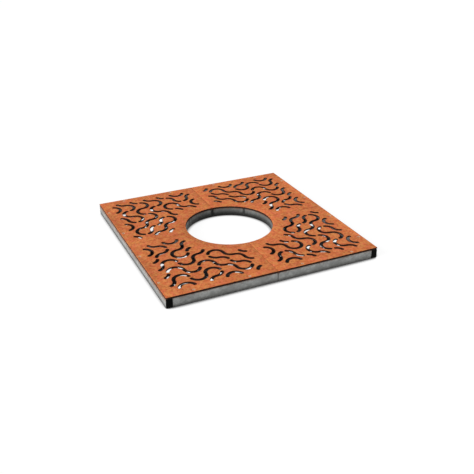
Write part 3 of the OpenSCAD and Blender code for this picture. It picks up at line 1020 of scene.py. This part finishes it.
def makeFasteners(values):
    solids = {"screw": screwSolid(values), "bolt": boltSolid(values), "nut": nutSolid(values),
              "washer": washerSolid(values), "rivetNut": rivetNutSolid(values)}
    patterns = {}
    for name, solid in solids.items():
        bmesh.ops.remove_doubles(solid, verts=solid.verts, dist=closeness / 10)
        bmesh.ops.recalc_face_normals(solid, faces=solid.faces)
        mesh = bpy.data.meshes.new(name)
        solid.to_mesh(mesh)
        solid.free()
        mesh.set_sharp_from_angle(angle=math.radians(values["sharp"]))
        patterns[name] = bpy.data.objects.new(name, mesh)
    jobs = []       # node, pattern, places, tilt in degrees, most turn by chance
    chance = values["chanceTurn"]
    for corner, quarter in quarters.items():
        points = screwPlaces(quarter, values["screwTop"], values)
        jobs.append(("screws_" + corner, "screw", points, 0, chance))
    for half, names in (("left", ("back_left", "front_left")), ("right", ("back_right", "front_right"))):
        points = [p for name in names for p in screwPlaces(quarters[name], values["frameTop"], values)]
        jobs.append(("rivet_nuts_" + half, "rivetNut", points, 0, chance))
    face = values["barFace"]
    thick = values["washerThickness"]
    jobs.append(("joint_bolts", "bolt", boltPlaces(-face - thick - values["headHeight"], values), 90, 0.0))
    jobs.append(("head_washers", "washer", boltPlaces(-face - thick, values), 90, chance))
    jobs.append(("nut_washers", "washer", boltPlaces(face, values), 90, chance))
    jobs.append(("joint_nuts", "nut", boltPlaces(face + thick, values), 90, 0.0))
    for seed, (nodeName, pattern, points, tilt, turn) in enumerate(jobs):
        inputs = {"Piece": patterns[pattern], "Tilt": (0.0, math.radians(tilt), 0.0), "Random Turn": turn,
                  "Seed": seed, "Material": materials[finishOfSlot[slotOf[nodeName]]]}
        standFor(bakeTree(pieceName(nodeName, "-placed"), placing, points, [], inputs), nodeName)
    for pattern in patterns.values():
        bpy.data.objects.remove(pattern)


makeFasteners(fasteners)
print("fasteners placed")


# Weld beads
beads = {
    "width": 0.0050,
    "ripplePitch": 0.0016,
    "rippleHeight": 0.16,
    "seamRise": 0.0004,     # how far the collar's own seams stand out from its inner wall
    "low": 0.0065,          # heights of a bead's ends
    "high": 0.0435,
    "frameInner": 0.5650,   # metres from the middle to the inner faces of the outer tubes
    "crossHalf": 0.0175,    # half the width of the cross tubes
}


def makeBeadTree():
    # Sweeps a rippled round bead along every path of edges
    inputs = {
        "Paths": ("NodeSocketGeometry", None),
        "Width": ("NodeSocketFloat", 0.005),
        "Ripple Pitch": ("NodeSocketFloat", 0.0016),
        "Ripple Height": ("NodeSocketFloat", 0.15),
        "Seed": ("NodeSocketInt", 0),
        "Material": ("NodeSocketMaterial", None),
    }
    tree, start, end = newGroup("weldBeads", "GeometryNodeTree", inputs,
                                {"Geometry": "NodeSocketGeometry"})
    path = addNode(tree, "GeometryNodeMeshToCurve", None, {"Mesh": start["Paths"]})
    spacing = calc(tree, "MULTIPLY", start["Ripple Pitch"], 0.25)       # four rings of points to a ripple
    fine = addNode(tree, "GeometryNodeResampleCurve", {"mode": "LENGTH"},
                   {"Curve": path.outputs[0], "Length": spacing})
    along = tree.nodes.new("GeometryNodeSplineParameter").outputs["Length"]
    waver = addNode(tree, "ShaderNodeTexNoise", {"noise_dimensions": "4D"},
                    {"Vector": tree.nodes.new("GeometryNodeInputPosition").outputs[0],
                     "W": start["Seed"], "Scale": 300.0, "Detail": 2.0})
    phase = calc(tree, "ADD", calc(tree, "DIVIDE", along, start["Ripple Pitch"]), waver.outputs[0])
    ripple = calc(tree, "ABSOLUTE", calc(tree, "SINE", calc(tree, "MULTIPLY", phase, math.pi)))
    swell = calc(tree, "ADD", calc(tree, "MULTIPLY", ripple, 0.7),
                 calc(tree, "MULTIPLY", waver.outputs[0], 0.6))
    rise = calc(tree, "MULTIPLY", calc(tree, "SUBTRACT", swell, 0.7), start["Ripple Height"])
    scale = calc(tree, "ADD", 1.0, rise)
    profile = addNode(tree, "GeometryNodeCurvePrimitiveCircle", None,
                      {"Resolution": 12, "Radius": calc(tree, "MULTIPLY", start["Width"], 0.5)})
    bead = addNode(tree, "GeometryNodeCurveToMesh", None,
                   {"Curve": fine.outputs[0], "Profile Curve": profile.outputs[0],
                    "Scale": scale, "Fill Caps": True})
    smooth = addNode(tree, "GeometryNodeSetShadeSmooth", None, {"Geometry": bead.outputs[0]})
    finishTree(tree, smooth.outputs[0], start["Material"], end)
    return tree


def beadPlaces(side, values):
    # Where the upright beads stand on one half of the frame
    inner = values["frameInner"]
    tube = values["crossHalf"]
    bar = fasteners["barFace"]
    collar = ringShapes["collar"]["outer"]
    places = []
    for end in (-1, 1):
        places.append((inner, end * inner))
        places.append((inner, end * tube))
        places.append((math.sqrt(collar ** 2 - tube ** 2), end * tube))
        places.append((bar, end * math.sqrt(collar ** 2 - bar ** 2)))
        places.append((bar, end * inner))
        seam = ringShapes["collar"]["inner"] + values["width"] / 2 - values["seamRise"]
        seam = seam / math.sqrt(2)
        places.append((seam, end * seam))
    return [(side * x, y) for x, y in places]


def makeBeads(values):
    tree = makeBeadTree()
    for side, body in ((-1, "left_half"), (1, "right_half")):
        points = []
        edges = []
        for x, y in beadPlaces(side, values):
            edges.append((len(points), len(points) + 1))
            points += [(x, y, values["low"]), (x, y, values["high"])]
        inputs = {"Width": values["width"], "Ripple Pitch": values["ripplePitch"],
                  "Ripple Height": values["rippleHeight"], "Seed": 3 + side,
                  "Material": materials["weldedSteel"]}
        piece = bakeTree(pieceName("weld_beads_" + body, ""), tree, points, edges, inputs)
        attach(piece, body)


makeBeads(beads)
print("beads made")


# Floor, lamp and world
studio = {
    "floorSize": 60.0,
    "floorGlow": 0.94,      # what the camera sees, before the shadow
    "floorShade": 0.08,     # the part of the floor that takes the shadow
    "floorBounce": 0.22,    # what the floor sends back to the object
    "openSide": (-0.17, 0.0, 1.0),  # direction that the floor's light comes from
    "floorDrop": 0.0002,    # metres from the grate down to the floor
    "farReach": 0.25,       # metres around a place on the floor in which walls and plates cover it
    "farSamples": 32,
    "nearReach": 0.06,
    "nearSamples": 96,
    "outsideOpen": (0.495, 0.70),   # openness within the far reach at which the floor is dark, and white
    "beneathOpen": (0.812, 0.828),  # openness within the near reach, for painted light that falls through slots
    "patchSize": 0.045,     # metres, the patches of floor under the plates that show such painted light
    "patchLevels": (0.55, 0.58),
    "openingOpen": (0.34, 0.72),    # openness within the near reach, in the opening for the trunk
    "openingRadius": 0.2505,
    "shadedFrom": (-0.78, -0.78),   # the part of the floor that can be covered, with the halves apart
    "shadedTo": (1.28, 0.78),
    "ambient": 0.42,
    "sunPower": 3.35,
    "sunSoftness": 24.0,    # degrees
    "sunAzimuth": -83.0,    # degrees, 0 shines along +Y
    "sunElevation": 30.5,
    "sunDistance": 5.0,
}


def grey(value):
    return (value, value, value, 1.0)


def seenDirectly(tree):
    path = tree.nodes.new("ShaderNodeLightPath").outputs
    seen = calc(tree, "MAXIMUM", path["Is Camera Ray"], path["Is Glossy Ray"])
    return calc(tree, "MAXIMUM", seen, path["Is Transmission Ray"])


def floorOpenness(tree, place, values):
    # How white the floor is, as painted shadow: 1 in the open, and 0 where walls and plates cover it, with
    # patches of painted light under the slots
    side = addNode(tree, "ShaderNodeCombineXYZ", None, dict(enumerate(values["openSide"]))).outputs[0]
    far = addNode(tree, "ShaderNodeAmbientOcclusion", {"samples": values["farSamples"]},
                  {"Distance": values["farReach"], "Normal": side}).outputs["AO"]
    near = addNode(tree, "ShaderNodeAmbientOcclusion", {"samples": values["nearSamples"]},
                   {"Distance": values["nearReach"]}).outputs["AO"]
    flat = vectorCalc(tree, "MULTIPLY", place, (1, 1, 0))
    radius = addNode(tree, "ShaderNodeVectorMath", {"operation": "LENGTH"}, {0: flat}).outputs["Value"]
    inOpening = calc(tree, "LESS_THAN", radius, values["openingRadius"])
    patches = addNode(tree, "ShaderNodeTexNoise", None,
                      {"Vector": place, "Scale": 1 / values["patchSize"], "Detail": 0.0}).outputs[0]
    litPatches = ramp(tree, patches, *values["patchLevels"])
    beneath = calc(tree, "MULTIPLY", litPatches, ramp(tree, near, *values["beneathOpen"]))
    outside = ramp(tree, far, *values["outsideOpen"])
    opening = calc(tree, "MULTIPLY", inOpening, ramp(tree, near, *values["openingOpen"]))
    return calc(tree, "MAXIMUM", calc(tree, "MAXIMUM", outside, beneath), opening)


def insideShaded(tree, place, values):
    parts = addNode(tree, "ShaderNodeSeparateXYZ", None, {0: place}).outputs
    inside = 1.0
    for axis, low, high in zip(("X", "Y"), values["shadedFrom"], values["shadedTo"]):
        inside = calc(tree, "MULTIPLY", inside, calc(tree, "GREATER_THAN", parts[axis], low))
        inside = calc(tree, "MULTIPLY", inside, calc(tree, "LESS_THAN", parts[axis], high))
    return inside


def mixShader(tree, factor, first, second):
    return addNode(tree, "ShaderNodeMixShader", None, {0: factor, 1: first, 2: second}).outputs[0]


def makeFloorMaterial(values):
    material = bpy.data.materials.new("studioFloor")
    material.use_nodes = True
    tree = material.node_tree
    tree.nodes.clear()
    place = tree.nodes.new("ShaderNodeTexCoord").outputs["Object"]
    # Painted shadow: the glow that the camera sees is dimmed where walls and plates cover the floor
    level = calc(tree, "MULTIPLY", floorOpenness(tree, place, values), values["floorGlow"])
    covered = addNode(tree, "ShaderNodeEmission", None, {"Strength": level}).outputs[0]
    plain = addNode(tree, "ShaderNodeEmission", None, {"Strength": values["floorGlow"]}).outputs[0]
    shown = mixShader(tree, insideShaded(tree, place, values), plain, covered)
    # Only the camera's own rays need the openness, which is slow to work out
    path = tree.nodes.new("ShaderNodeLightPath").outputs
    glow = mixShader(tree, path["Is Camera Ray"], plain, shown)
    shade = addNode(tree, "ShaderNodeBsdfDiffuse", None, {"Color": grey(values["floorShade"])}).outputs[0]
    both = addNode(tree, "ShaderNodeAddShader", None, {0: glow, 1: shade}).outputs[0]
    bounce = addNode(tree, "ShaderNodeBsdfDiffuse", None, {"Color": grey(values["floorBounce"])}).outputs[0]
    chosen = mixShader(tree, seenDirectly(tree), bounce, both)
    # From below the floor is clear
    below = tree.nodes.new("ShaderNodeNewGeometry").outputs["Backfacing"]
    clear = tree.nodes.new("ShaderNodeBsdfTransparent").outputs[0]
    output = tree.nodes.new("ShaderNodeOutputMaterial")
    tree.links.new(mixShader(tree, below, chosen, clear), output.inputs["Surface"])
    return material


def makeFloor(values):
    solid = bmesh.new()
    bmesh.ops.create_grid(solid, x_segments=1, y_segments=1, size=values["floorSize"])
    mesh = bpy.data.meshes.new("floor")
    solid.to_mesh(mesh)
    solid.free()
    mesh.materials.append(makeFloorMaterial(values))
    floor = bpy.data.objects.new("floor", mesh)
    floor.location.z = cadLow.z - values["floorDrop"]
    scene.collection.objects.link(floor)


def makeLight(values):
    world = bpy.data.worlds.new("studio")
    world.use_nodes = True
    tree = world.node_tree
    background = next(node for node in tree.nodes if node.type == "BACKGROUND")
    background.inputs["Color"].default_value = grey(1.0)
    ambient = values["ambient"]
    white = calc(tree, "MULTIPLY", seenDirectly(tree), 1 - ambient)
    tree.links.new(calc(tree, "ADD", ambient, white), background.inputs["Strength"])
    scene.world = world
    data = bpy.data.lights.new("sun", "SUN")
    data.energy = values["sunPower"]
    data.angle = math.radians(values["sunSoftness"])
    back = outwards(values["sunAzimuth"], values["sunElevation"])
    sun = bpy.data.objects.new("sun", data)
    sun.rotation_mode = "QUATERNION"
    sun.rotation_quaternion = (-back).to_track_quat("-Z", "Y")
    sun.location = back * values["sunDistance"]
    scene.collection.objects.link(sun)


makeFloor(studio)
makeLight(studio)
print("studio made")
